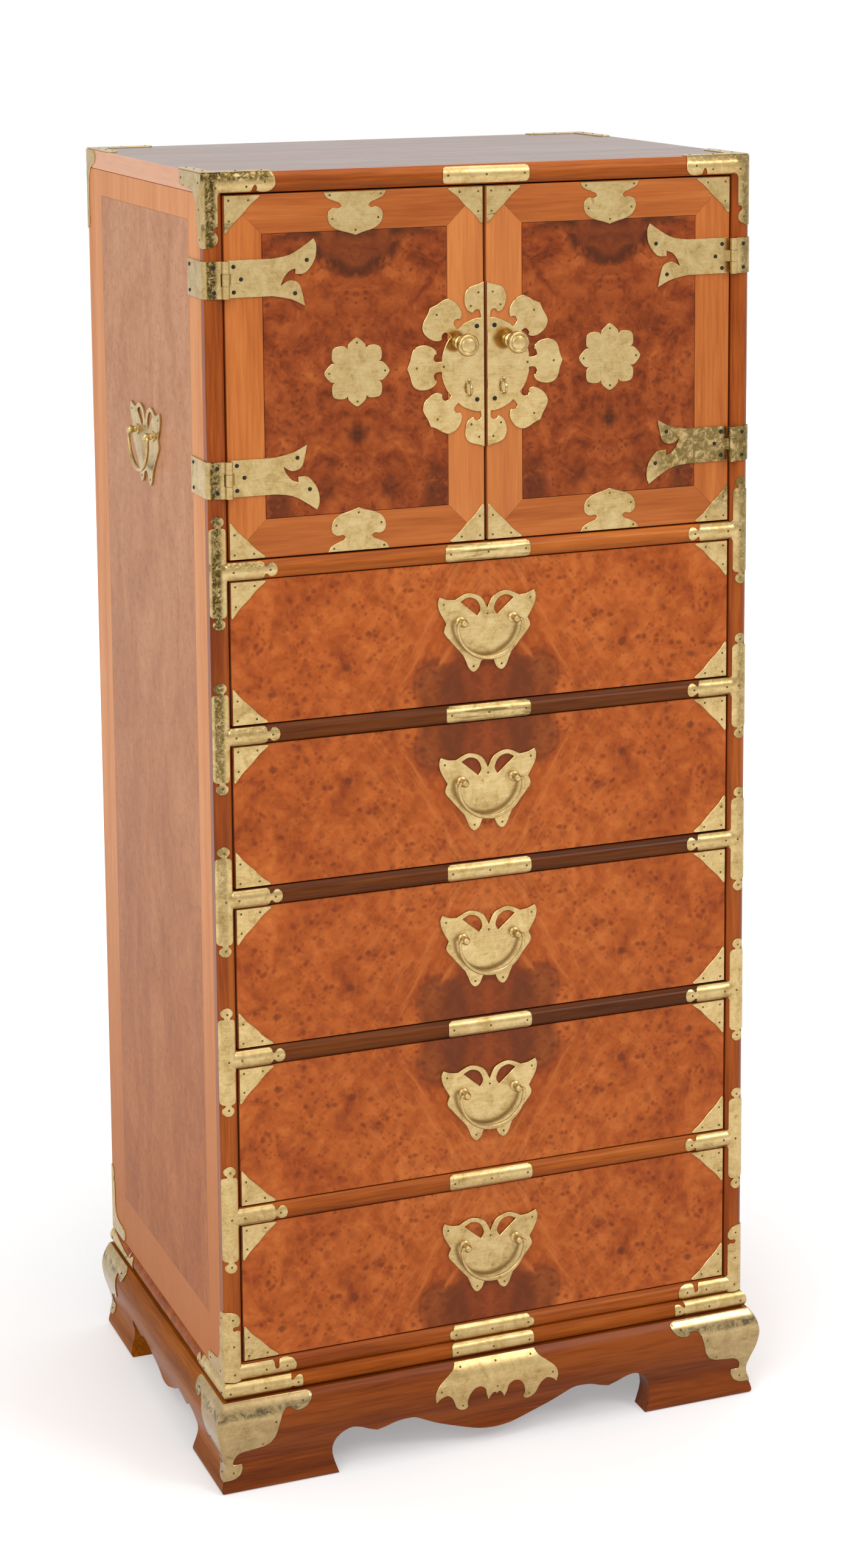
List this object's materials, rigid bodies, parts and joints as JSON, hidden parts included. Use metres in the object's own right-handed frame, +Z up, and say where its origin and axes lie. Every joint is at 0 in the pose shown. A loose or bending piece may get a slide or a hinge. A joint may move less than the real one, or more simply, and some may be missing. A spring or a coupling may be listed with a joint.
{
  "type": "chest of drawers",
  "caption": "Tall narrow chest with hinged doors over a stack of drawers, brass butterfly pulls, a round lock plate and an ogee plinth with scalloped aprons.",
  "frame": {"origin": "on the floor, under the middle of the whole piece, knobs included", "axes": "+Z up, the doors and drawers face -Y, +X to the right as seen from the front"},
  "size_m": [0.5556, 0.405, 1.218],
  "materials": {
    "frame_wood": "polished reddish hardwood",
    "side_veneer": "polished pale burl veneer",
    "top_veneer": "glossy burl veneer",
    "door_border": "polished straight-grained veneer",
    "door_burl": "polished dark burl veneer",
    "drawer_burl": "polished burl veneer",
    "plinth_wood": "polished reddish hardwood",
    "inner_wood": "plain sanded wood",
    "brass": "satin, lightly tarnished",
    "iron": "blackened"
  },
  "bodies": {
    "case": {"left_stile": "frame_wood", "right_stile": "frame_wood", "top_rail": "frame_wood", "cabinet_floor": "frame_wood", "case_bottom": "frame_wood", "drawer_divider_1": "frame_wood", "drawer_divider_2": "frame_wood", "drawer_divider_3": "frame_wood", "drawer_divider_4": "frame_wood", "left_side": "side_veneer", "right_side": "side_veneer", "top_panel": "top_veneer", "back_panel": "inner_wood", "base_board": "plinth_wood", "plinth_front": "plinth_wood", "plinth_left": "plinth_wood", "plinth_right": "plinth_wood", "plinth_back": "plinth_wood", "door_catch": "iron", "left_upper_hinge_leaf": "brass", "left_lower_hinge_leaf": "brass", "left_side_pull_plate": "brass", "right_upper_hinge_leaf": "brass", "right_lower_hinge_leaf": "brass", "right_side_pull_plate": "brass"},
    "left_door": {"left_door_frame": "door_border", "left_door_panel": "door_burl", "left_upper_hinge_strap": "brass", "left_lower_hinge_strap": "brass", "left_lock_plate": "brass", "left_knob": "brass"},
    "right_door": {"right_door_frame": "door_border", "right_door_panel": "door_burl", "right_upper_hinge_strap": "brass", "right_lower_hinge_strap": "brass", "right_lock_plate": "brass", "right_knob": "brass"},
    "drawer_1": {"drawer_1_box": "inner_wood", "drawer_1_front": "drawer_burl", "drawer_1_pull_plate": "brass"},
    "drawer_2": {"drawer_2_box": "inner_wood", "drawer_2_front": "drawer_burl", "drawer_2_pull_plate": "brass"},
    "drawer_3": {"drawer_3_box": "inner_wood", "drawer_3_front": "drawer_burl", "drawer_3_pull_plate": "brass"},
    "drawer_4": {"drawer_4_box": "inner_wood", "drawer_4_front": "drawer_burl", "drawer_4_pull_plate": "brass"},
    "drawer_5": {"drawer_5_box": "inner_wood", "drawer_5_front": "drawer_burl", "drawer_5_pull_plate": "brass"},
    "left_side_bail": {"left_side_bail": "brass"},
    "right_side_bail": {"right_side_bail": "brass"},
    "drawer_1_bail": {"drawer_1_bail": "brass"},
    "drawer_2_bail": {"drawer_2_bail": "brass"},
    "drawer_3_bail": {"drawer_3_bail": "brass"},
    "drawer_4_bail": {"drawer_4_bail": "brass"},
    "drawer_5_bail": {"drawer_5_bail": "brass"}
  },
  "joints": [
    {"name": "left_door_hinge", "type": "hinge", "parent": "case", "child": "left_door", "pos_m": [-0.247, -0.18345, 1.0365], "axis": [0, 0, -1], "range_deg": [0, 170]},
    {"name": "right_door_hinge", "type": "hinge", "parent": "case", "child": "right_door", "pos_m": [0.247, -0.18345, 1.0365], "axis": [0, 0, 1], "range_deg": [0, 170]},
    {"name": "drawer_1_slide", "type": "slide", "parent": "case", "child": "drawer_1", "axis": [0, -1, 0], "range_m": [0, 0.26]},
    {"name": "drawer_1_bail_swing", "type": "hinge", "parent": "drawer_1", "child": "drawer_1_bail", "pos_m": [0, -0.18575, 0.8005], "axis": [-1, 0, 0], "range_deg": [0, 100]},
    {"name": "drawer_2_slide", "type": "slide", "parent": "case", "child": "drawer_2", "axis": [0, -1, 0], "range_m": [0, 0.26]},
    {"name": "drawer_2_bail_swing", "type": "hinge", "parent": "drawer_2", "child": "drawer_2_bail", "pos_m": [0, -0.18575, 0.65], "axis": [-1, 0, 0], "range_deg": [0, 100]},
    {"name": "drawer_3_slide", "type": "slide", "parent": "case", "child": "drawer_3", "axis": [0, -1, 0], "range_m": [0, 0.26]},
    {"name": "drawer_3_bail_swing", "type": "hinge", "parent": "drawer_3", "child": "drawer_3_bail", "pos_m": [0, -0.18575, 0.4995], "axis": [-1, 0, 0], "range_deg": [0, 100]},
    {"name": "drawer_4_slide", "type": "slide", "parent": "case", "child": "drawer_4", "axis": [0, -1, 0], "range_m": [0, 0.26]},
    {"name": "drawer_4_bail_swing", "type": "hinge", "parent": "drawer_4", "child": "drawer_4_bail", "pos_m": [0, -0.18575, 0.349], "axis": [-1, 0, 0], "range_deg": [0, 100]},
    {"name": "drawer_5_slide", "type": "slide", "parent": "case", "child": "drawer_5", "axis": [0, -1, 0], "range_m": [0, 0.26]},
    {"name": "drawer_5_bail_swing", "type": "hinge", "parent": "drawer_5", "child": "drawer_5_bail", "pos_m": [0, -0.18575, 0.1985], "axis": [-1, 0, 0], "range_deg": [0, 100]},
    {"name": "left_side_bail_swing", "type": "hinge", "parent": "case", "child": "left_side_bail", "pos_m": [-0.2743, 0.01055, 0.964], "axis": [0, 1, 0], "range_deg": [0, 100]},
    {"name": "right_side_bail_swing", "type": "hinge", "parent": "case", "child": "right_side_bail", "pos_m": [0.2743, 0.01055, 0.964], "axis": [0, -1, 0], "range_deg": [0, 100]}
  ]
}
